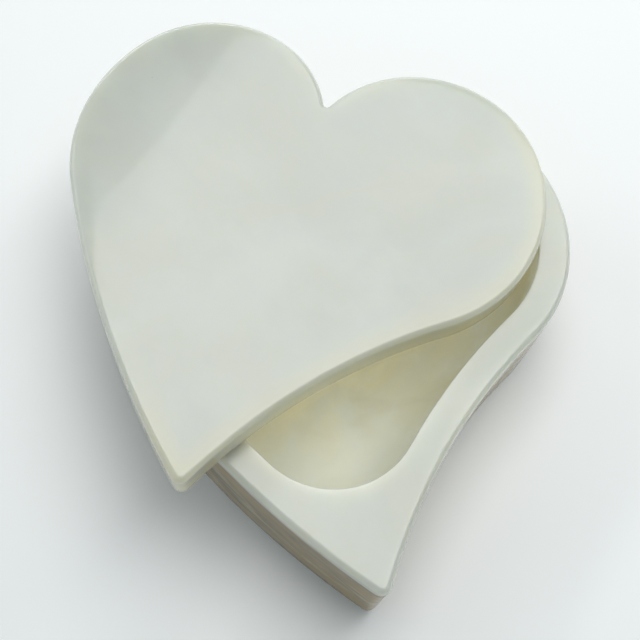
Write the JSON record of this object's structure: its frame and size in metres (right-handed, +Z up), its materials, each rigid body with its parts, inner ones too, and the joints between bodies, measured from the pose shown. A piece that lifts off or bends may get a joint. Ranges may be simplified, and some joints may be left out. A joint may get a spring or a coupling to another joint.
{
  "type": "heart-shaped trinket box",
  "caption": "Heart-shaped stone trinket box with a carved hollow and a flat heart lid that swivels sideways on a hidden screw in one lobe.",
  "frame": {"origin": "on the surface the box stands on, under the middle of the box's footprint", "axes": "+Z up; -Y to the heart's tip and +Y to its lobes; the pivot is in the +X lobe; at rest the lid is swung 25.7 degrees clockwise from closed, seen from above"},
  "size_m": [0.1043, 0.1264, 0.0333],
  "materials": {
    "box_stone": "polished translucent pale stone",
    "lid_stone": "polished translucent pale stone",
    "felt": "pressed wool felt, die-cut edge",
    "sleeve_brass": "turned",
    "insert_brass": "turned",
    "screw_steel": "ground shoulder, machined head",
    "spring_steel": "pressed, oiled",
    "washer_nylon": "natural nylon"
  },
  "bodies": {
    "box": {"box_body": "box_stone", "felt_sheet": "felt", "body_sleeve": "sleeve_brass", "thrust_washer": "washer_nylon", "disc_spring": "spring_steel"},
    "lid": {"lid": "lid_stone", "lid_insert": "insert_brass", "shoulder_screw": "screw_steel"}
  },
  "joints": [
    {"name": "lid_swivel", "type": "hinge", "parent": "box", "child": "lid", "pos_m": [0.0311, 0.03787, 0.0259], "axis": [0, 0, 1], "continuous": true}
  ]
}
